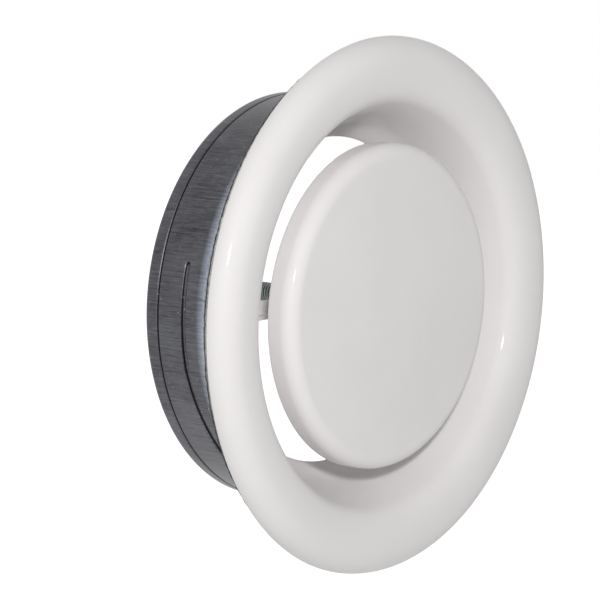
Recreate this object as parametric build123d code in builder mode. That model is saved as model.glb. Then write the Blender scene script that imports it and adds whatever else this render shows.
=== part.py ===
"""Steel ventilation disc valve for a 125 mm duct, turned part-way into its mounting frame.

The valve axis runs along Y. The front faces -Y, +X is to the right of someone
looking at the front, and +Z is up. The origin is on the axis, in the plain
stretch of the sleeve that slides into the duct.
"""

import os
from math import asin, atan, cos, degrees, radians, sin, sqrt, tan

from build123d import *

# Mounting frame, a galvanised sheet sleeve with a flared mouth
FRAME_SHEET = 0.8
SLEEVE_RADIUS = 62.0
SLEEVE_END_Y = 21.8
FLARE_START_Y = -0.3
FLARE_BEND = 1.6
FLARE_ARC = 80.0
END_LIP = 1.8
END_BEND = 1.4
STOP_GROOVE_Y = 16.6
STOP_GROOVE_PRESS = 0.4
RAMP_PRESS = 0.8
RAMP_HOLD_Y = 6.7
RAMP_COUNT = 2
RAMP_FIRST_ANGLE = 164.5
RAMP_HOLD_ARC = 28.0
RAMP_INCLINE_ARC = 32.0
RAMP_RISE = 3.0

# Valve ring, a pressed bell mouth, with its widths and heights to the middle of the sheet
RING_SHEET = 0.8
RIM_Y = -18.0
ARCH_WIDTH = 7.5
ARCH_HEIGHT = 6.25
ROLL_WIDTH = 10.4
LIP_AHEAD_OF_RIM = 1.6
THROAT_SLEEVE_GAP = 0.38
THROAT_TAPER = 6.0
THROAT_CORNER_Y = -7.5
THROAT_CORNER_RADIUS = 26.0
SEAT_INSIDE_THROAT = 10.9
SEAT_END_Y = 3.5

# Foam gasket, glued in the hollow of the ring
GASKET_WIDTH = 5.2
GASKET_INSIDE_RIM = 1.6
GASKET_BELOW_RIM = 1.4
GLUE_GAP = 0.25

# Bridge, a bent strip that carries the nuts and hooks behind the ramps
BRIDGE_SHEET = 1.2
BRIDGE_HEIGHT = 4.8
BRIDGE_RAISE = 0.5
BRIDGE_BEND = 1.4
HOOK_BEND = 0.7
BRIDGE_EYE_RADIUS = 9.0
BRIDGE_LIP_DEPTH = 3.0
BRIDGE_LIP_INSIDE_SEAT = 5.1
HOOK_RAMP_GAP = 0.3
HOOK_SIDE_GAP = 0.3

# Spindle and nuts, metric M6
SPINDLE_RADIUS = 3.0
SPINDLE_END_Y = 32.0
SPINDLE_CHAMFER = 0.6
THREAD_GAP = 0.06
NUT_FLATS = 10.0
NUT_HEIGHT = 5.0
NUT_CHAMFER = 0.5
LOCK_NUT_HEIGHT = 3.2
NUT_SEAT_GAP = 0.05
EYE_HOLE_GAP = 0.3

# Disc and its hub
DISC_SHEET = 0.8
DISC_SEAT_GAP = 0.4
DISC_CROWN = 0.7
DISC_FRONT_Y = -22.9
DISC_BACK_Y = -13.4
DISC_EDGE_BEND = 4.5
HUB_FLANGE_RADIUS = 12.0
HUB_FLANGE_HEIGHT = 1.6
HUB_RADIUS = 6.5
HUB_LENGTH = 5.6
HUB_DISC_GAP = 0.1
HUB_WALL = 1.2

# Worked out from the values above
sleeve_inner = SLEEVE_RADIUS - FRAME_SHEET
sleeve_middle = SLEEVE_RADIUS - FRAME_SHEET / 2
rib_inner = SLEEVE_RADIUS - RAMP_PRESS - FRAME_SHEET
rib_back_y = RAMP_HOLD_Y + RAMP_PRESS + FRAME_SHEET

os.makedirs("parts", exist_ok=True)


def meridian(angle):
    """Half plane through the valve axis: local x is the radius, local y is the part's Y."""
    turn = radians(angle)
    return Plane(origin=(0, 0, 0), x_dir=(cos(turn), 0, sin(turn)), z_dir=(-sin(turn), 0, cos(turn)))


def turning_axis(y=0.0, lean=0.0, lean_at=0.0):
    """Axis for revolving anticlockwise as seen from the front, leaned at one angle for an incline."""
    tilt = radians(lean)
    turn = radians(lean_at)
    direction = (sin(tilt) * sin(turn), -cos(tilt), -sin(tilt) * cos(turn))
    return Axis((0, y, 0), direction)


def press_groove(angle, y, press, arc, axis):
    """Press a half-round groove into the sleeve: a rib inside and a groove outside."""
    with BuildSketch(meridian(angle)) as rib:
        with Locations((SLEEVE_RADIUS, y)):
            Circle(press + FRAME_SHEET)
        with Locations((sleeve_middle, y)):
            Rectangle(2 * (press + FRAME_SHEET), 2 * (press + FRAME_SHEET),
                      align=(Align.MIN, Align.CENTER), mode=Mode.SUBTRACT)
    revolve(rib.sketch, axis=axis, revolution_arc=arc)
    with BuildSketch(meridian(angle)) as groove:
        with Locations((SLEEVE_RADIUS, y)):
            Circle(press)
    revolve(groove.sketch, axis=axis, revolution_arc=arc, mode=Mode.SUBTRACT)


# Mounting frame: sleeve, flared mouth, inturned back edge, stop groove and bayonet ramps
end_middle_y = SLEEVE_END_Y - FRAME_SHEET / 2
with BuildPart() as mounting_frame:
    with BuildSketch():
        with BuildLine() as frame_section:
            FilletPolyline(
                (sleeve_middle - END_LIP, end_middle_y),
                (sleeve_middle, end_middle_y),
                (sleeve_middle, FLARE_START_Y),
                radius=END_BEND,
            )
            JernArc((sleeve_middle, FLARE_START_Y), (0, -1), FLARE_BEND, FLARE_ARC)
        trace(frame_section.line, line_width=FRAME_SHEET)
    revolve(axis=Axis.Y)
    press_groove(0, STOP_GROOVE_Y, STOP_GROOVE_PRESS, 360, turning_axis())
    for ramp in range(RAMP_COUNT):
        hold_start = RAMP_FIRST_ANGLE + ramp * 360 / RAMP_COUNT
        incline_start = hold_start + RAMP_HOLD_ARC
        half_arc = RAMP_INCLINE_ARC / 2
        lean = degrees(atan(RAMP_RISE / (2 * SLEEVE_RADIUS * sin(radians(half_arc)))))
        incline_axis = turning_axis(RAMP_HOLD_Y - RAMP_RISE / 2, lean, incline_start + half_arc)
        press_groove(hold_start, RAMP_HOLD_Y, RAMP_PRESS, RAMP_HOLD_ARC, turning_axis())
        press_groove(incline_start, RAMP_HOLD_Y, RAMP_PRESS, RAMP_INCLINE_ARC, incline_axis)
mounting_frame.part.label = "mounting_frame"
export_step(mounting_frame.part, "parts/mounting_frame.step")

# Valve ring: rounded arch, tapered throat and conical seat in one pressing
half_sheet = RING_SHEET / 2
roll_height = ARCH_HEIGHT - LIP_AHEAD_OF_RIM
roll_centre_y = RIM_Y - LIP_AHEAD_OF_RIM
taper_slope = tan(radians(THROAT_TAPER))
corner_radius = sleeve_inner - THROAT_SLEEVE_GAP - half_sheet
roll_end = atan(taper_slope * roll_height / ROLL_WIDTH)
throat_start_y = roll_centre_y - roll_height * sin(roll_end)
throat_start_radius = corner_radius + taper_slope * (THROAT_CORNER_Y - throat_start_y)
crest_radius = throat_start_radius + ROLL_WIDTH * cos(roll_end)
rim_radius = crest_radius + ARCH_WIDTH + half_sheet
seat_radius = corner_radius - SEAT_INSIDE_THROAT
with BuildPart() as valve_ring:
    with BuildSketch():
        with BuildLine() as ring_section:
            EllipticalCenterArc((crest_radius, RIM_Y), ARCH_WIDTH, ARCH_HEIGHT, start_angle=270, arc_size=90)
            EllipticalCenterArc(
                (crest_radius, roll_centre_y),
                ROLL_WIDTH,
                roll_height,
                start_angle=180 + degrees(roll_end),
                arc_size=90 - degrees(roll_end),
            )
            FilletPolyline(
                (throat_start_radius, throat_start_y),
                (corner_radius, THROAT_CORNER_Y),
                (seat_radius, SEAT_END_Y),
                radius=THROAT_CORNER_RADIUS,
            )
        trace(ring_section.line, line_width=RING_SHEET)
    revolve(axis=Axis.Y)
valve_ring.part.label = "valve_ring"
export_step(valve_ring.part, "parts/valve_ring.step")

# Foam gasket: its top follows the underside of the arch
gasket_middle = rim_radius - GASKET_INSIDE_RIM - GASKET_WIDTH / 2
arch_gap = half_sheet + GLUE_GAP
with BuildPart() as foam_gasket:
    with BuildSketch():
        with Locations((crest_radius, RIM_Y)):
            Ellipse(ARCH_WIDTH - arch_gap, ARCH_HEIGHT - arch_gap)
        with Locations((gasket_middle, RIM_Y)):
            Rectangle(GASKET_WIDTH, ARCH_HEIGHT, align=(Align.CENTER, Align.MAX), mode=Mode.INTERSECT)
            Rectangle(GASKET_WIDTH, GASKET_BELOW_RIM, align=(Align.CENTER, Align.MIN))
    revolve(axis=Axis.Y)
foam_gasket.part.label = "foam_gasket"
export_step(foam_gasket.part, "parts/foam_gasket.step")

# Bridge: strip across the back of the seat, with an eye, stiffening lips and hooked ends
seat_slope = atan(SEAT_INSIDE_THROAT / (SEAT_END_Y - THROAT_CORNER_Y))
bridge_front_y = SEAT_END_Y + half_sheet * sin(seat_slope)
bridge_middle_y = bridge_front_y + BRIDGE_SHEET / 2
bridge_back_y = bridge_front_y + BRIDGE_SHEET
half_height = BRIDGE_HEIGHT / 2
bridge_top = BRIDGE_RAISE + half_height
bridge_bottom = BRIDGE_RAISE - half_height
leg_x = sqrt((rib_inner - HOOK_SIDE_GAP) ** 2 - bridge_top**2) - BRIDGE_SHEET / 2
foot_x = sqrt((sleeve_inner - HOOK_SIDE_GAP) ** 2 - bridge_top**2)
lip_end_x = seat_radius - half_sheet - BRIDGE_LIP_INSIDE_SEAT
foot_y = rib_back_y + HOOK_RAMP_GAP + BRIDGE_SHEET / 2
eye_hole_radius = SPINDLE_RADIUS + EYE_HOLE_GAP
with BuildPart() as bridge:
    with BuildSketch(Plane.XY.offset(BRIDGE_RAISE)):
        with BuildLine() as strip_section:
            FilletPolyline(
                (foot_x, foot_y),
                (leg_x, foot_y),
                (leg_x, bridge_middle_y),
                (-leg_x, bridge_middle_y),
                (-leg_x, foot_y),
                (-foot_x, foot_y),
                radius=[HOOK_BEND, BRIDGE_BEND, BRIDGE_BEND, HOOK_BEND],
            )
        trace(strip_section.line, line_width=BRIDGE_SHEET)
    extrude(amount=half_height, both=True)
    with BuildSketch(Plane.XZ.offset(-bridge_back_y)):
        Circle(BRIDGE_EYE_RADIUS)
    extrude(amount=BRIDGE_SHEET)
    with BuildSketch(Plane.XZ.offset(-bridge_front_y)):
        for side in (-1, 1):
            lip_middle_x = side * (BRIDGE_EYE_RADIUS + lip_end_x) / 2
            with Locations((lip_middle_x, bridge_bottom)):
                Rectangle(lip_end_x - BRIDGE_EYE_RADIUS, BRIDGE_SHEET, align=(Align.CENTER, Align.MIN))
    extrude(amount=BRIDGE_LIP_DEPTH)
    with BuildSketch(Plane.XZ.offset(-bridge_back_y)):
        Circle(eye_hole_radius)
    extrude(amount=BRIDGE_SHEET, mode=Mode.SUBTRACT)
bridge.part.label = "bridge"
export_step(bridge.part, "parts/bridge.step")


def hex_nut(seat_y, height):
    """Hexagon nut with its faces square to the axis, chamfered at both ends."""
    with BuildPart() as nut:
        with BuildSketch(Plane.XZ.offset(-seat_y)):
            RegularPolygon(NUT_FLATS / 2, side_count=6, major_radius=False)
            Circle(SPINDLE_RADIUS + THREAD_GAP, mode=Mode.SUBTRACT)
        extrude(amount=-height)
        with BuildSketch(meridian(0)) as cone:
            with BuildLine():
                corner = NUT_FLATS / sqrt(3)
                Polyline(
                    (0, seat_y),
                    (corner - NUT_CHAMFER, seat_y),
                    (corner, seat_y + NUT_CHAMFER),
                    (corner, seat_y + height - NUT_CHAMFER),
                    (corner - NUT_CHAMFER, seat_y + height),
                    (0, seat_y + height),
                    close=True,
                )
            make_face()
        revolve(cone.sketch, axis=Axis.Y, mode=Mode.INTERSECT)
    return nut.part


# Nut fixed to the back of the bridge, and the lock nut behind it
bridge_nut = hex_nut(bridge_back_y, NUT_HEIGHT)
bridge_nut.label = "bridge_nut"
export_step(bridge_nut, "parts/bridge_nut.step")
lock_nut = hex_nut(bridge_back_y + NUT_HEIGHT + NUT_SEAT_GAP, LOCK_NUT_HEIGHT)
lock_nut.label = "lock_nut"
export_step(lock_nut, "parts/lock_nut.step")

# Valve disc: shallow crown, rounded edge and a short wall, open at the back
crown_edge = seat_radius - half_sheet - DISC_SEAT_GAP - DISC_EDGE_BEND
crown_radius = (crown_edge**2 + DISC_CROWN**2) / (2 * DISC_CROWN)
crown_arc = degrees(asin(crown_edge / crown_radius))
with BuildPart() as valve_disc:
    with BuildSketch():
        with BuildLine() as disc_section:
            crown = JernArc((0, DISC_FRONT_Y + DISC_SHEET / 2), (1, 0), crown_radius, crown_arc)
            edge = JernArc(crown @ 1, crown % 1, DISC_EDGE_BEND - DISC_SHEET / 2, 90 - crown_arc)
            Line(edge @ 1, ((edge @ 1).X, DISC_BACK_Y))
        trace(disc_section.line, line_width=DISC_SHEET)
    revolve(axis=Axis.Y)
valve_disc.part.label = "valve_disc"
export_step(valve_disc.part, "parts/valve_disc.step")

# Hub on the back of the disc, blind at the front
flange_rise = HUB_FLANGE_RADIUS**2 / (2 * crown_radius)
hub_front_y = DISC_FRONT_Y + DISC_SHEET + flange_rise + HUB_DISC_GAP
hub_flange_back_y = hub_front_y + HUB_FLANGE_HEIGHT
hub_back_y = hub_front_y + HUB_LENGTH
with BuildPart() as disc_hub:
    with BuildSketch():
        with BuildLine():
            Polyline(
                (0, hub_front_y),
                (HUB_FLANGE_RADIUS, hub_front_y),
                (HUB_FLANGE_RADIUS, hub_flange_back_y),
                (HUB_RADIUS, hub_flange_back_y),
                (HUB_RADIUS, hub_back_y),
                (SPINDLE_RADIUS + THREAD_GAP, hub_back_y),
                (SPINDLE_RADIUS + THREAD_GAP, hub_front_y + HUB_WALL),
                (0, hub_front_y + HUB_WALL),
                close=True,
            )
        make_face()
    revolve(axis=Axis.Y)
disc_hub.part.label = "disc_hub"
export_step(disc_hub.part, "parts/disc_hub.step")

# Threaded spindle, plain here, with chamfered ends
spindle_front_y = hub_front_y + HUB_WALL + THREAD_GAP
with BuildPart() as spindle:
    with BuildSketch(Plane.XZ.offset(-spindle_front_y)):
        Circle(SPINDLE_RADIUS)
    extrude(amount=spindle_front_y - SPINDLE_END_Y)
    chamfer(spindle.edges().filter_by(GeomType.CIRCLE), SPINDLE_CHAMFER)
spindle.part.label = "spindle"
export_step(spindle.part, "parts/spindle.step")
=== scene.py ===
"""Looks of a steel disc valve: enamelled ring and disc, threaded spindle, galvanised frame.

Lengths are in metres. The valve axis runs along Y and the front faces -Y. Angles round
the axis start at +X and run anticlockwise as seen from the front.
"""

import math

import bmesh
import bpy
from mathutils import Matrix, Vector, noise


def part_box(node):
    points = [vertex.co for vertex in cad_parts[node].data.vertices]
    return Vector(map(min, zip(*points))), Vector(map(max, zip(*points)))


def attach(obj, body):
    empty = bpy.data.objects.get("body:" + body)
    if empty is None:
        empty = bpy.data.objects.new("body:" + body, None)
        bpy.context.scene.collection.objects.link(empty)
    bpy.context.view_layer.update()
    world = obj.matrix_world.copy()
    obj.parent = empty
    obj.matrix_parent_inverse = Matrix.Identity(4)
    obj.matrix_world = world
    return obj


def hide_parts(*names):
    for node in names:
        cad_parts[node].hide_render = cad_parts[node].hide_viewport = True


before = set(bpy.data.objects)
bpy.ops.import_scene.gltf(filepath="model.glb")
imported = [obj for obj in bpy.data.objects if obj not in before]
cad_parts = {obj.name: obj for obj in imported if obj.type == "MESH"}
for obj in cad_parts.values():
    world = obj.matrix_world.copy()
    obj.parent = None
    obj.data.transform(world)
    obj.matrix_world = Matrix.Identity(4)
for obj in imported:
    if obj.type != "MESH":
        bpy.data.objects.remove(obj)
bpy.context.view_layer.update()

MM = 0.001

# Camera of the photograph
CAMERA_PLACE = Vector((-0.56043, -0.44543, 0.11028))
CAMERA_AZIMUTH = math.radians(-50.621)
CAMERA_ELEVATION = math.radians(8.747)
CAMERA_LENS = 144.0
SENSOR_WIDTH = 36.0

# Mounting frame
FRAME_SHEET = 0.8 * MM
SLEEVE_RADIUS = 62.0 * MM
SLEEVE_MIDDLE = SLEEVE_RADIUS - FRAME_SHEET / 2
SLEEVE_END_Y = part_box("mounting_frame")[1][1] - FRAME_SHEET / 2
FLARE_START_Y = -0.3 * MM
FLARE_BEND = 1.6 * MM
FLARE_ARC = 80.0
END_BEND = 1.4 * MM
END_LIP = 1.8 * MM
STOP_GROOVE_Y = 16.6 * MM
STOP_GROOVE_PRESS = 0.4 * MM
RAMP_PRESS = 0.8 * MM
RAMP_HOLD_Y = 6.7 * MM
RAMP_STARTS = (164.5, 344.5)
RAMP_HOLD_ARC = 28.0
RAMP_INCLINE_ARC = 32.0
RAMP_RISE = 3.0 * MM
RAMP_RUN_OUT_ARC = 12.0
RAMP_FADE = 5.0 * MM
SEAM_HEIGHT = 7.5 * MM
SEAM_HALF_WIDTH = 0.12 * MM
FRAME_CUT_EDGE = 0.2 * MM
FRAME_ROW = 0.9 * MM
PRESSED_ROW = 0.12 * MM
RAMP_ZONE = 1.4 * MM
GROOVE_ZONE = 0.9 * MM
# Painted highlight: a bluish bright band at the flared mouth
MOUTH_SHEEN_Y = FLARE_START_Y - 1.0 * MM
MOUTH_SHEEN_REACH = 3.2 * MM
# Painted shade: near-black colour along the pressed grooves, for the shade in their hollows
GROOVE_SHADE_RADIUS = SLEEVE_RADIUS - 0.45 * MM
GROOVE_SHADE_REACH = 0.32 * MM

# Valve ring, to the middle of its sheet, with a straighter funnel than the solid
RING_SHEET = 0.8 * MM
RIM_Y = -18.0 * MM
ARCH_WIDTH = 7.5 * MM
ARCH_HEIGHT = 6.25 * MM
ROLL_WIDTH = 10.4 * MM
CREST_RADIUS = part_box("valve_ring")[1][0] - RING_SHEET / 2 - ARCH_WIDTH
ROLL_HEIGHT = 4.65 * MM
ROLL_CENTRE_Y = RIM_Y - ARCH_HEIGHT + ROLL_HEIGHT
LIP_SLOPE = math.radians(52.0)
LIP_BEND = 8.0 * MM
THROAT_SLOPE = math.radians(20.0)
SEAT_CORNER_Y = -1.5 * MM
SEAT_BEND = 12.0 * MM
SEAT_INSIDE_CREST = 22.58 * MM
SEAT_END_Y = 3.5 * MM
RING_CUT_EDGE = 0.25 * MM
RING_ROW = 1.2 * MM

# Gasket, whose foam swells a little out of the solid and whose outer back edge is darkened as painted shade
GASKET_OUTER_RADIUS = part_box("foam_gasket")[1][0]
GASKET_WIDTH = 5.2 * MM
GASKET_INNER_RADIUS = GASKET_OUTER_RADIUS - GASKET_WIDTH
FOAM_SWELL = 0.8 * MM
GASKET_BACK_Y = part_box("foam_gasket")[1][1] + FOAM_SWELL
GASKET_ARCH_GAP = 0.65 * MM
GASKET_OUTER_ROW = 0.8 * MM
GASKET_INNER_ROW = 1.2 * MM
GASKET_BACK_ROW = 0.9 * MM
FOAM_RAGGED = 0.25 * MM
FOAM_RAGGED_GRAIN = 900.0
FOAM_UNEVEN = 0.2 * MM
FOAM_UNEVEN_GRAIN = 700.0
# Where the foam's outer back edge darkens: painted shade of the gap behind the ring's rim
GASKET_SHADE_START_Y = RIM_Y + 1.55 * MM
GASKET_SHADE_FULL_Y = RIM_Y + 1.85 * MM
GASKET_SHADE_START_RADIUS = GASKET_OUTER_RADIUS - 1.2 * MM
GASKET_SHADE_FULL_RADIUS = GASKET_OUTER_RADIUS - 0.5 * MM

# Disc
DISC_SHEET = 0.8 * MM
DISC_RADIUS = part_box("valve_disc")[1][0]
DISC_CROWN = 0.7 * MM
DISC_FRONT_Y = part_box("valve_disc")[0][1]
DISC_BACK_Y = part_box("valve_disc")[1][1]
DISC_EDGE_BEND = 4.1 * MM
DISC_CUT_EDGE = 0.2 * MM
DISC_ROW = 0.8 * MM

# Spindle, and the nuts and bridge that keep their solids
THREAD_PITCH = 1.0 * MM
THREAD_RADIUS = 3.0 * MM
THREAD_DEPTH = 0.55 * MM
THREAD_CLEAN_RADIUS = THREAD_RADIUS - 0.1 * MM
SPINDLE_FRONT_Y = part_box("spindle")[0][1]
SPINDLE_BACK_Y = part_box("spindle")[1][1]
SPINDLE_CHAMFER = 0.6 * MM
SMALL_PART_EDGE = 0.15 * MM

# Room and flash
AMBIENT_LEVEL = 0.35
FLOOR_Z = -0.32
FLOOR_HALF_WIDTH = 3.0
FLOOR_GLOW = 0.85
FLASH_AZIMUTH = -49.0
FLASH_ELEVATION = 18.5
FLASH_DISTANCE = 0.75
FLASH_SIZE = 0.06
FLASH_POWER = 2.95

# Steps round the axis
RING_STEPS = 480
FRAME_STEPS = 512
DISC_STEPS = 256
THREAD_STEPS = 28


def arc(centre, width, height, start, end, count):
    """Points along an elliptical arc in the half section, angles in degrees."""
    points = []
    for step in range(count + 1):
        angle = math.radians(start + (end - start) * step / count)
        points.append((centre[0] + width * math.cos(angle), centre[1] + height * math.sin(angle)))
    return points


def straight(start, end, spacing):
    """Points from start to end, both included, no further apart than the spacing."""
    count = max(1, math.ceil(math.dist(start, end) / spacing))
    return [
        (start[0] + (end[0] - start[0]) * step / count, start[1] + (end[1] - start[1]) * step / count)
        for step in range(count + 1)
    ]


def rounded_corner(before, corner, after, radius, count):
    """Points of the arc that rounds a corner of the section."""
    point = Vector(corner)
    back = (Vector(before) - point).normalized()
    ahead = (Vector(after) - point).normalized()
    half = back.angle(ahead) / 2
    centre = point + (back + ahead).normalized() * (radius / math.sin(half))
    reach = radius / math.tan(half)
    first = point + back * reach - centre
    turn = first.angle_signed(point + ahead * reach - centre)
    points = []
    for step in range(count + 1):
        offset = Matrix.Rotation(-turn * step / count, 2) @ first
        points.append(tuple(centre + offset))
    return points


def join_runs(*runs):
    """One list of section points, without the doubles where the runs meet."""
    points = [runs[0][0]]
    for run in runs:
        points.extend(point for point in run if math.dist(point, points[-1]) > 1e-7)
    return points


def turned(points, steps, closed=False):
    """A bmesh spun round the valve axis from a half section."""
    mesh = bmesh.new()
    verts = [mesh.verts.new((radius, y, 0.0)) for radius, y in points]
    edges = [mesh.edges.new(pair) for pair in zip(verts, verts[1:])]
    if closed:
        edges.append(mesh.edges.new((verts[-1], verts[0])))
    bmesh.ops.spin(
        mesh, geom=verts + edges, cent=(0, 0, 0), axis=(0, 1, 0), angle=math.tau, steps=steps, use_merge=True
    )
    bmesh.ops.remove_doubles(mesh, verts=mesh.verts, dist=1e-6)
    bmesh.ops.recalc_face_normals(mesh, faces=mesh.faces)
    return mesh


def angle_round_axis(vert):
    """Angle of a vertex round the valve axis, in degrees from 0 to 360."""
    return math.degrees(math.atan2(vert.co.z, vert.co.x)) % 360


def set_radius(vert, radius):
    """Move a vertex square to the axis to a new radius."""
    scale = radius / math.hypot(vert.co.x, vert.co.z)
    vert.co.x *= scale
    vert.co.z *= scale


def finished(mesh, name, body, material, replaced):
    """Turn a bmesh into a smooth piece that rides on a body and stands for a CAD node."""
    for face in mesh.faces:
        face.smooth = True
    data = bpy.data.meshes.new(name)
    mesh.to_mesh(data)
    mesh.free()
    piece = bpy.data.objects.new(name, data)
    bpy.context.scene.collection.objects.link(piece)
    data.materials.append(material)
    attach(piece, body)
    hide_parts(replaced)
    return piece


def sheet_metal(piece, thickness, edge):
    """Give a middle surface its sheet thickness and soft cut edges."""
    wall = piece.modifiers.new("sheet", "SOLIDIFY")
    wall.thickness = thickness
    wall.offset = 0.0
    wall.use_even_offset = True
    soften = piece.modifiers.new("cut_edge", "BEVEL")
    soften.width = edge
    soften.segments = 2
    soften.limit_method = "ANGLE"
    soften.angle_limit = math.radians(50)


class Nodes:
    """Short hand for building one material's node tree."""

    def __init__(self, name):
        self.material = bpy.data.materials.new(name)
        self.material.use_nodes = True
        self.tree = self.material.node_tree
        self.shader = self.tree.nodes["Principled BSDF"]
        self.place = self.tree.nodes.new("ShaderNodeTexCoord").outputs["Object"]

    def node(self, kind, **settings):
        made = self.tree.nodes.new(kind)
        for name, value in settings.items():
            setattr(made, name, value)
        return made

    def link(self, output, target):
        self.tree.links.new(output, target)

    def stretched(self, scale):
        """Object coordinates scaled by axis."""
        mapping = self.node("ShaderNodeMapping")
        mapping.inputs["Scale"].default_value = scale
        self.link(self.place, mapping.inputs["Vector"])
        return mapping.outputs["Vector"]

    def noise(self, vector, scale, detail=4.0, roughness=0.55):
        made = self.node("ShaderNodeTexNoise")
        made.inputs["Scale"].default_value = scale
        made.inputs["Detail"].default_value = detail
        made.inputs["Roughness"].default_value = roughness
        self.link(vector, made.inputs["Vector"])
        return made.outputs["Fac"]

    def ramp(self, value, low, high, start=0.0, end=1.0):
        """Colours from low to high between two values of the input."""
        made = self.node("ShaderNodeValToRGB")
        made.color_ramp.elements[0].position = start
        made.color_ramp.elements[0].color = (*low, 1.0)
        made.color_ramp.elements[1].position = end
        made.color_ramp.elements[1].color = (*high, 1.0)
        self.link(value, made.inputs["Fac"])
        return made.outputs["Color"]

    def range(self, value, low, high, start=0.0, end=1.0):
        """Numbers from low to high between two values of the input."""
        made = self.node("ShaderNodeMapRange")
        made.inputs["From Min"].default_value = start
        made.inputs["From Max"].default_value = end
        made.inputs["To Min"].default_value = low
        made.inputs["To Max"].default_value = high
        self.link(value, made.inputs["Value"])
        return made.outputs["Result"]

    def mix(self, first, second, share):
        """A number between two others."""
        made = self.node("ShaderNodeMix", data_type="FLOAT")
        made.inputs["Factor"].default_value = share
        self.link(first, made.inputs["A"])
        self.link(second, made.inputs["B"])
        return made.outputs["Result"]

    def mix_colour(self, colour, other, share):
        """A colour pulled towards a fixed one by the share."""
        made = self.node("ShaderNodeMix", data_type="RGBA")
        made.inputs["B"].default_value = (*other, 1.0)
        self.link(share, made.inputs["Factor"])
        self.link(colour, made.inputs["A"])
        return made.outputs["Result"]

    def along_axis(self):
        """Place along the valve axis."""
        parts = self.node("ShaderNodeSeparateXYZ")
        self.link(self.place, parts.inputs["Vector"])
        return parts.outputs["Y"]

    def from_axis(self):
        """Distance from the valve axis."""
        flat = self.node("ShaderNodeVectorMath", operation="LENGTH")
        self.link(self.stretched((1.0, 0.0, 1.0)), flat.inputs[0])
        return flat.outputs["Value"]

    def band(self, value, middle, half_width, full):
        """Full where a value is at the middle, fading to zero at the half width to both sides."""
        offset = self.node("ShaderNodeMath", operation="SUBTRACT")
        offset.inputs[1].default_value = middle
        self.link(value, offset.inputs[0])
        distance = self.node("ShaderNodeMath", operation="ABSOLUTE")
        self.link(offset.outputs["Value"], distance.inputs[0])
        return self.range(distance.outputs["Value"], full, 0.0, 0.0, half_width)

    def times(self, first, second):
        """Two numbers multiplied."""
        made = self.node("ShaderNodeMath", operation="MULTIPLY")
        self.link(first, made.inputs[0])
        self.link(second, made.inputs[1])
        return made.outputs["Value"]

    def seam(self):
        """One along a thin line on the left of the sleeve, zero elsewhere."""
        parts = self.node("ShaderNodeSeparateXYZ")
        self.link(self.place, parts.inputs["Vector"])
        line = self.node("ShaderNodeMath", operation="COMPARE")
        line.inputs[1].default_value = SEAM_HEIGHT
        line.inputs[2].default_value = SEAM_HALF_WIDTH
        self.link(parts.outputs["Z"], line.inputs[0])
        left = self.node("ShaderNodeMath", operation="LESS_THAN")
        left.inputs[1].default_value = 0.0
        self.link(parts.outputs["X"], left.inputs[0])
        return self.times(line.outputs["Value"], left.outputs["Value"])

    def bump(self, height, strength, distance, under=None):
        made = self.node("ShaderNodeBump")
        made.inputs["Strength"].default_value = strength
        made.inputs["Distance"].default_value = distance
        self.link(height, made.inputs["Height"])
        if under is not None:
            self.link(under, made.inputs["Normal"])
        return made.outputs["Normal"]


def white_enamel():
    """Gloss powder coat: faint orange peel, slow shifts of tone and a little dust."""
    enamel = Nodes("white_enamel")
    cloud = enamel.noise(enamel.place, 35.0, 3.0)
    peel = enamel.noise(enamel.place, 900.0, 2.0)
    speck = enamel.noise(enamel.place, 2600.0, 1.0)
    tone = enamel.ramp(cloud, (0.858, 0.832, 0.828), (0.893, 0.868, 0.865), 0.3, 0.7)
    enamel.link(tone, enamel.shader.inputs["Base Color"])
    enamel.link(enamel.range(cloud, 0.46, 0.56, 0.3, 0.7), enamel.shader.inputs["Roughness"])
    fine = enamel.bump(speck, 0.05, 0.00002)
    enamel.link(enamel.bump(peel, 0.10, 0.00008, fine), enamel.shader.inputs["Normal"])
    enamel.shader.inputs["Coat Weight"].default_value = 0.13
    enamel.shader.inputs["Coat Roughness"].default_value = 0.08
    enamel.shader.inputs["Specular IOR Level"].default_value = 0.15
    return enamel.material


def galvanised_sheet():
    """Dull zinc: drawn streaks, scratches, specks, a painted bluish highlight at the mouth, painted shade in
    the grooves and a butt seam.
    """
    zinc = Nodes("galvanised_sheet")
    streak = zinc.noise(zinc.stretched((420.0, 60.0, 420.0)), 4.0, 6.0, 0.75)
    scratch = zinc.noise(zinc.stretched((2400.0, 60.0, 2400.0)), 1.0, 3.0, 0.7)
    cloud = zinc.noise(zinc.place, 60.0, 4.0)
    speck = zinc.noise(zinc.place, 1400.0, 2.0)
    value = zinc.mix(zinc.mix(streak, cloud, 0.4), scratch, 0.35)
    tone = zinc.ramp(value, (0.030, 0.029, 0.031), (0.150, 0.152, 0.170), 0.34, 0.66)
    bright = zinc.mix_colour(tone, (0.42, 0.44, 0.47), zinc.range(speck, 0.0, 0.8, 0.70, 0.78))
    # Painted highlight: the mouth gets a bluish bright band, broken up by the scratches
    mouth = zinc.band(zinc.along_axis(), MOUTH_SHEEN_Y, MOUTH_SHEEN_REACH, 1.0)
    sheen = zinc.times(mouth, zinc.range(scratch, 0.45, 1.0, 0.35, 0.6))
    sheened = zinc.mix_colour(bright, (0.40, 0.44, 0.52), sheen)
    # Painted shade: the pressed grooves are darkened to near black
    groove = zinc.band(zinc.from_axis(), GROOVE_SHADE_RADIUS, GROOVE_SHADE_REACH, 1.6)
    groove_shaded = zinc.mix_colour(sheened, (0.012, 0.011, 0.011), groove)
    zinc.link(zinc.mix_colour(groove_shaded, (0.10, 0.10, 0.11), zinc.seam()), zinc.shader.inputs["Base Color"])
    zinc.link(zinc.range(value, 0.26, 0.48, 0.3, 0.7), zinc.shader.inputs["Roughness"])
    zinc.shader.inputs["Metallic"].default_value = 1.0
    grain = zinc.bump(scratch, 0.10, 0.00005)
    zinc.link(zinc.bump(streak, 0.20, 0.00008, grain), zinc.shader.inputs["Normal"])
    return zinc.material


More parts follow.
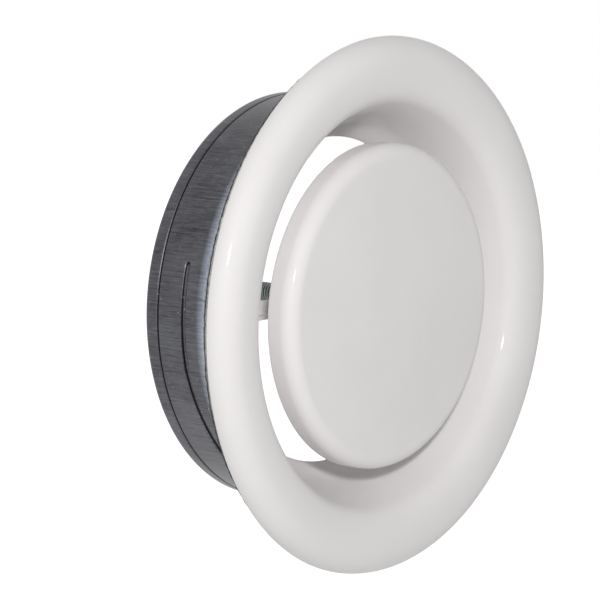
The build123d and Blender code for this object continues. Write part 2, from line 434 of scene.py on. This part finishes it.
def zinc_plate():
    """Bright zinc plating of the spindle and nuts, greenish and blotched, with painted shade in the thread
    roots.
    """
    plate = Nodes("zinc_plate")
    blotch = plate.noise(plate.place, 320.0, 4.0)
    scratch = plate.noise(plate.stretched((900.0, 900.0, 200.0)), 3.0, 3.0)
    tone = plate.ramp(blotch, (0.24, 0.27, 0.26), (0.52, 0.56, 0.55), 0.3, 0.7)
    # Painted shade: the thread roots are darkened to near black by their distance from the axis
    root = plate.range(plate.from_axis(), 0.95, 0.0, THREAD_RADIUS - THREAD_DEPTH, THREAD_CLEAN_RADIUS)
    plate.link(plate.mix_colour(tone, (0.02, 0.024, 0.023), root), plate.shader.inputs["Base Color"])
    plate.link(plate.range(blotch, 0.24, 0.42, 0.3, 0.7), plate.shader.inputs["Roughness"])
    plate.shader.inputs["Metallic"].default_value = 1.0
    plate.link(plate.bump(scratch, 0.15, 0.00004), plate.shader.inputs["Normal"])
    return plate.material


def foam():
    """Soft cellular foam, off-white, with open cells on its cut faces and painted shade on its outer back
    edge.
    """
    cells = Nodes("gasket_foam")
    pores = cells.node("ShaderNodeTexVoronoi")
    pores.inputs["Scale"].default_value = 1500.0
    cells.link(cells.place, pores.inputs["Vector"])
    cloud = cells.noise(cells.place, 300.0, 4.0)
    tone = cells.ramp(cloud, (0.38, 0.38, 0.36), (0.66, 0.66, 0.63), 0.35, 0.65)
    # Painted shade: the outer back edge turns near black for the shadowed gap behind the rim
    back = cells.range(cells.along_axis(), 0.0, 0.9, GASKET_SHADE_START_Y, GASKET_SHADE_FULL_Y)
    outside = cells.range(cells.from_axis(), 0.0, 1.0, GASKET_SHADE_START_RADIUS, GASKET_SHADE_FULL_RADIUS)
    painted_shade = cells.times(back, outside)
    cells.link(cells.mix_colour(tone, (0.03, 0.03, 0.03), painted_shade), cells.shader.inputs["Base Color"])
    cells.link(cells.range(cloud, 0.82, 0.97), cells.shader.inputs["Roughness"])
    cells.link(cells.bump(pores.outputs["Distance"], 0.8, 0.0004), cells.shader.inputs["Normal"])
    return cells.material


ENAMEL = white_enamel()
GALVANISED = galvanised_sheet()
ZINC = zinc_plate()
FOAM = foam()


def make_ring():
    """Bell-mouth ring: arch, rolled lip, smooth funnel of a throat and conical seat."""
    end = math.atan(math.tan(LIP_SLOPE) * ROLL_HEIGHT / ROLL_WIDTH)
    start = (CREST_RADIUS - ROLL_WIDTH * math.cos(end), ROLL_CENTRE_Y - ROLL_HEIGHT * math.sin(end))
    reach = LIP_BEND * math.tan((LIP_SLOPE - THROAT_SLOPE) / 2)
    lip_corner = (start[0] - reach * math.sin(LIP_SLOPE), start[1] + reach * math.cos(LIP_SLOPE))
    throat_depth = SEAT_CORNER_Y - lip_corner[1]
    seat_corner = (lip_corner[0] - throat_depth * math.tan(THROAT_SLOPE), SEAT_CORNER_Y)
    seat_end = (CREST_RADIUS - SEAT_INSIDE_CREST, SEAT_END_Y)
    lip_bend = rounded_corner(start, lip_corner, seat_corner, LIP_BEND, 12)
    seat_bend = rounded_corner(lip_corner, seat_corner, seat_end, SEAT_BEND, 12)
    section = join_runs(
        arc((CREST_RADIUS, RIM_Y), ARCH_WIDTH, ARCH_HEIGHT, 0, -90, 26),
        arc((CREST_RADIUS, ROLL_CENTRE_Y), ROLL_WIDTH, ROLL_HEIGHT, -90, -180 + math.degrees(end), 26),
        lip_bend,
        straight(lip_bend[-1], seat_bend[0], RING_ROW),
        seat_bend,
        straight(seat_bend[-1], seat_end, RING_ROW),
    )
    ring = finished(turned(section, RING_STEPS), "bell_ring", "valve", ENAMEL, "valve_ring")
    sheet_metal(ring, RING_SHEET, RING_CUT_EDGE)


def make_disc():
    """Crowned disc with a rounded edge and a short wall, open at the back."""
    wall_radius = DISC_RADIUS - DISC_SHEET / 2
    crown_edge = wall_radius - DISC_EDGE_BEND
    crown_radius = (crown_edge**2 + DISC_CROWN**2) / (2 * DISC_CROWN)
    crown_arc = math.degrees(math.asin(crown_edge / crown_radius))
    front_y = DISC_FRONT_Y + DISC_SHEET / 2
    edge_y = front_y + DISC_CROWN + DISC_EDGE_BEND
    section = join_runs(
        arc((0.0, front_y + crown_radius), crown_radius, crown_radius, -90, crown_arc - 90, 40),
        arc((crown_edge, edge_y), DISC_EDGE_BEND, DISC_EDGE_BEND, crown_arc - 90, 0, 20),
        straight((wall_radius, edge_y), (wall_radius, DISC_BACK_Y), DISC_ROW),
    )
    disc = finished(turned(section, DISC_STEPS), "domed_disc", "disc", ENAMEL, "valve_disc")
    sheet_metal(disc, DISC_SHEET, DISC_CUT_EDGE)


def ramp_climb(turn):
    """How far the ramp has come forward at an angle from its start, in degrees."""
    past = turn - RAMP_HOLD_ARC
    if past <= 0:
        return 0.0
    if past < RAMP_INCLINE_ARC:
        half = math.radians(RAMP_INCLINE_ARC / 2)
        return RAMP_RISE / 2 * (1 + math.sin(math.radians(past) - half) / math.sin(half))
    fade = min((past - RAMP_INCLINE_ARC) / RAMP_RUN_OUT_ARC, 1.0)
    return RAMP_RISE * (1 + math.cos(math.pi * fade)) / 2


def press_ramp(vert, start):
    """Lean the sleeve's rows along one ramp and press its groove."""
    turn = (angle_round_axis(vert) - start + 90) % 360 - 90
    off_row = vert.co.y - RAMP_HOLD_Y
    past = turn - min(max(turn, 0.0), RAMP_HOLD_ARC + RAMP_INCLINE_ARC)
    press_groove(vert, math.hypot(math.radians(past) * SLEEVE_RADIUS, off_row), RAMP_PRESS)
    vert.co.y -= ramp_climb(turn) * max(0.0, 1 - abs(off_row) / RAMP_FADE)


def press_groove(vert, offset, press):
    """Press one vertex of the sleeve inwards where it lies in a half-round groove."""
    reach = press + FRAME_SHEET / 2
    if offset < reach:
        pressed = SLEEVE_RADIUS - math.sqrt(reach**2 - offset**2)
        set_radius(vert, min(math.hypot(vert.co.x, vert.co.z), pressed))


def make_frame():
    """Galvanised sleeve with a flared mouth, inturned back edge, stop groove and bayonet ramps."""
    lip_end = (SLEEVE_MIDDLE - END_LIP, SLEEVE_END_Y)
    end_bend = rounded_corner((SLEEVE_MIDDLE, 0.0), (SLEEVE_MIDDLE, SLEEVE_END_Y), lip_end, END_BEND, 8)
    flare_centre = (SLEEVE_MIDDLE + FLARE_BEND, FLARE_START_Y)
    rows = [FLARE_START_Y, RAMP_HOLD_Y - RAMP_ZONE, RAMP_HOLD_Y + RAMP_ZONE]
    rows += [STOP_GROOVE_Y - GROOVE_ZONE, STOP_GROOVE_Y + GROOVE_ZONE, end_bend[0][1]]
    spacings = (FRAME_ROW, PRESSED_ROW, FRAME_ROW, PRESSED_ROW, FRAME_ROW)
    runs = [
        straight((SLEEVE_MIDDLE, first), (SLEEVE_MIDDLE, last), spacing)
        for first, last, spacing in zip(rows, rows[1:], spacings)
    ]
    flare = arc(flare_centre, FLARE_BEND, FLARE_BEND, 180 + FLARE_ARC, 180, 10)
    mesh = turned(join_runs(flare, *runs, end_bend, [end_bend[-1], lip_end]), FRAME_STEPS)
    for vert in mesh.verts:
        if abs(math.hypot(vert.co.x, vert.co.z) - SLEEVE_MIDDLE) > 0.01 * MM:
            continue
        press_groove(vert, abs(vert.co.y - STOP_GROOVE_Y), STOP_GROOVE_PRESS)
        for start in RAMP_STARTS:
            press_ramp(vert, start)
    sleeve = finished(mesh, "sleeve_frame", "frame", GALVANISED, "mounting_frame")
    sheet_metal(sleeve, FRAME_SHEET, FRAME_CUT_EDGE)


def make_gasket():
    """Foam ring in the hollow of the arch, with a slightly ragged cut edge."""
    width = ARCH_WIDTH - GASKET_ARCH_GAP
    first = math.degrees(math.acos((GASKET_OUTER_RADIUS - CREST_RADIUS) / width))
    last = math.degrees(math.acos((GASKET_INNER_RADIUS - CREST_RADIUS) / width))
    top = arc((CREST_RADIUS, RIM_Y), width, ARCH_HEIGHT - GASKET_ARCH_GAP, -first, -last, 8)
    outer = straight((GASKET_OUTER_RADIUS, GASKET_BACK_Y), top[0], GASKET_OUTER_ROW)
    inner = straight(top[-1], (GASKET_INNER_RADIUS, GASKET_BACK_Y), GASKET_INNER_ROW)
    back = straight(inner[-1], outer[0], GASKET_BACK_ROW)
    mesh = turned(join_runs(outer, top, inner, back)[:-1], RING_STEPS, closed=True)
    for vert in mesh.verts:
        if vert.co.y > RIM_Y:
            ragged = noise.fractal(vert.co * FOAM_RAGGED_GRAIN, 1.0, 2.0, 4)
            set_radius(vert, math.hypot(vert.co.x, vert.co.z) + ragged * FOAM_RAGGED)
            vert.co.y += FOAM_UNEVEN * noise.noise(vert.co * FOAM_UNEVEN_GRAIN)
    finished(mesh, "foam_ring", "valve", FOAM, "foam_gasket")


def make_spindle():
    """Threaded rod: one turn of the thread's flank, screwed along the axis and cut to length."""
    root = THREAD_RADIUS - THREAD_DEPTH
    start_y = SPINDLE_FRONT_Y - 2 * THREAD_PITCH
    turns = math.ceil((SPINDLE_BACK_Y - SPINDLE_FRONT_Y) / THREAD_PITCH) + 4
    # Radius and share of the pitch along one turn
    flank = [
        (root, 0.0), (root, 0.14), (THREAD_RADIUS, 0.46), (THREAD_RADIUS, 0.60), (root, 0.92), (root, 1.0)
    ]
    mesh = bmesh.new()
    verts = [mesh.verts.new((radius, start_y + part * THREAD_PITCH, 0.0)) for radius, part in flank]
    edges = [mesh.edges.new(pair) for pair in zip(verts, verts[1:])]
    bmesh.ops.spin(
        mesh, geom=verts + edges, cent=(0, 0, 0), axis=(0, 1, 0), dvec=(0, THREAD_PITCH / THREAD_STEPS, 0),
        angle=math.tau * turns, steps=THREAD_STEPS * turns
    )
    bmesh.ops.remove_doubles(mesh, verts=mesh.verts, dist=1e-5)
    for end_y, outward in ((SPINDLE_FRONT_Y, -1), (SPINDLE_BACK_Y, 1)):
        bmesh.ops.bisect_plane(
            mesh, geom=mesh.verts[:] + mesh.edges[:] + mesh.faces[:], plane_co=(0, end_y, 0),
            plane_no=(0, outward, 0), clear_outer=True
        )
        rim = [edge for edge in mesh.edges if edge.is_boundary and abs(edge.verts[0].co.y - end_y) < 1e-6]
        bmesh.ops.holes_fill(mesh, edges=rim, sides=0)
    for vert in mesh.verts:
        from_end = min(vert.co.y - SPINDLE_FRONT_Y, SPINDLE_BACK_Y - vert.co.y)
        limit = THREAD_RADIUS - SPINDLE_CHAMFER + max(from_end, 0.0)
        if math.hypot(vert.co.x, vert.co.z) > limit:
            set_radius(vert, limit)
    bmesh.ops.recalc_face_normals(mesh, faces=mesh.faces)
    rod = finished(mesh, "threaded_rod", "spindle_carrier", ZINC, "spindle")
    rod.data.shade_flat()


def dress_kept_nodes():
    """Materials and softened edges for the pieces whose solids already have their shape."""
    for node, material in (
        ("bridge", ENAMEL), ("bridge_nut", ZINC), ("lock_nut", ZINC), ("disc_hub", ZINC)
    ):
        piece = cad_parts[node]
        piece.data.materials.clear()
        piece.data.materials.append(material)
        weld = piece.modifiers.new("weld", "WELD")
        weld.merge_threshold = 1e-6
        soften = piece.modifiers.new("soft_edge", "BEVEL")
        soften.width = SMALL_PART_EDGE
        soften.segments = 2
        soften.limit_method = "ANGLE"
        soften.angle_limit = math.radians(35)


def is_seen(tree):
    """One where a camera, glossy or transmitted ray looks straight at a surface, else zero."""
    path = tree.nodes.new("ShaderNodeLightPath")
    first = tree.nodes.new("ShaderNodeMath")
    first.operation = "MAXIMUM"
    tree.links.new(path.outputs["Is Camera Ray"], first.inputs[0])
    tree.links.new(path.outputs["Is Glossy Ray"], first.inputs[1])
    second = tree.nodes.new("ShaderNodeMath")
    second.operation = "MAXIMUM"
    tree.links.new(first.outputs[0], second.inputs[0])
    tree.links.new(path.outputs["Is Transmission Ray"], second.inputs[1])
    return second.outputs[0]


def make_world():
    """White all round to the eye, and a plain soft light on the object."""
    world = bpy.data.worlds.new("white_room")
    world.use_nodes = True
    bpy.context.scene.world = world
    tree = world.node_tree
    level = tree.nodes.new("ShaderNodeMapRange")
    level.inputs["To Min"].default_value = AMBIENT_LEVEL
    level.inputs["To Max"].default_value = 1.0
    tree.links.new(is_seen(tree), level.inputs["Value"])
    background = tree.nodes["Background"]
    background.inputs["Color"].default_value = (1.0, 1.0, 1.0, 1.0)
    tree.links.new(level.outputs["Result"], background.inputs["Strength"])


def make_floor():
    """Pale floor well below the object."""
    mesh = bmesh.new()
    bmesh.ops.create_grid(mesh, x_segments=2, y_segments=2, size=FLOOR_HALF_WIDTH)
    bmesh.ops.translate(mesh, verts=mesh.verts, vec=(0, 0, FLOOR_Z))
    data = bpy.data.meshes.new("floor")
    mesh.to_mesh(data)
    mesh.free()
    floor = bpy.data.objects.new("floor", data)
    bpy.context.scene.collection.objects.link(floor)
    material = bpy.data.materials.new("pale_floor")
    material.use_nodes = True
    tree = material.node_tree
    shader = tree.nodes["Principled BSDF"]
    shader.inputs["Base Color"].default_value = (0.86, 0.86, 0.86, 1.0)
    shader.inputs["Roughness"].default_value = 0.9
    shader.inputs["Emission Color"].default_value = (1.0, 1.0, 1.0, 1.0)
    glow = tree.nodes.new("ShaderNodeMapRange")
    glow.inputs["To Max"].default_value = FLOOR_GLOW
    tree.links.new(is_seen(tree), glow.inputs["Value"])
    tree.links.new(glow.outputs["Result"], shader.inputs["Emission Strength"])
    data.materials.append(material)


def lamp(name, azimuth, elevation, distance, size, power):
    """Square area lamp that faces the valve from a direction given in degrees."""
    data = bpy.data.lights.new(name, "AREA")
    data.shape = "SQUARE"
    data.size = size
    data.energy = power
    light = bpy.data.objects.new(name, data)
    side = math.radians(azimuth)
    rise = math.radians(elevation)
    away = Vector((math.sin(side) * math.cos(rise), -math.cos(side) * math.cos(rise), math.sin(rise)))
    target = Vector((0.0, RIM_Y, 0.0))
    light.location = target + away * distance
    light.rotation_euler = away.to_track_quat("Z", "Y").to_euler()
    bpy.context.scene.collection.objects.link(light)


def make_camera():
    """Camera at the photograph's place, looking along its line of sight."""
    data = bpy.data.cameras.new("photo_camera")
    data.lens = CAMERA_LENS
    data.sensor_width = SENSOR_WIDTH
    data.clip_start = 0.01
    camera = bpy.data.objects.new("photo_camera", data)
    right = Vector((math.cos(CAMERA_AZIMUTH), math.sin(CAMERA_AZIMUTH), 0.0))
    away = Vector((
        math.sin(CAMERA_AZIMUTH) * math.cos(CAMERA_ELEVATION),
        -math.cos(CAMERA_AZIMUTH) * math.cos(CAMERA_ELEVATION),
        math.sin(CAMERA_ELEVATION),
    ))
    turn = Matrix((right, away.cross(right), away)).transposed()
    camera.matrix_world = Matrix.Translation(CAMERA_PLACE) @ turn.to_4x4()
    bpy.context.scene.collection.objects.link(camera)
    bpy.context.scene.camera = camera


make_ring()
make_disc()
make_frame()
make_gasket()
make_spindle()
dress_kept_nodes()
make_world()
make_floor()
lamp("flash", FLASH_AZIMUTH, FLASH_ELEVATION, FLASH_DISTANCE, FLASH_SIZE, FLASH_POWER)
make_camera()

bpy.context.scene.view_settings.view_transform = "Standard"
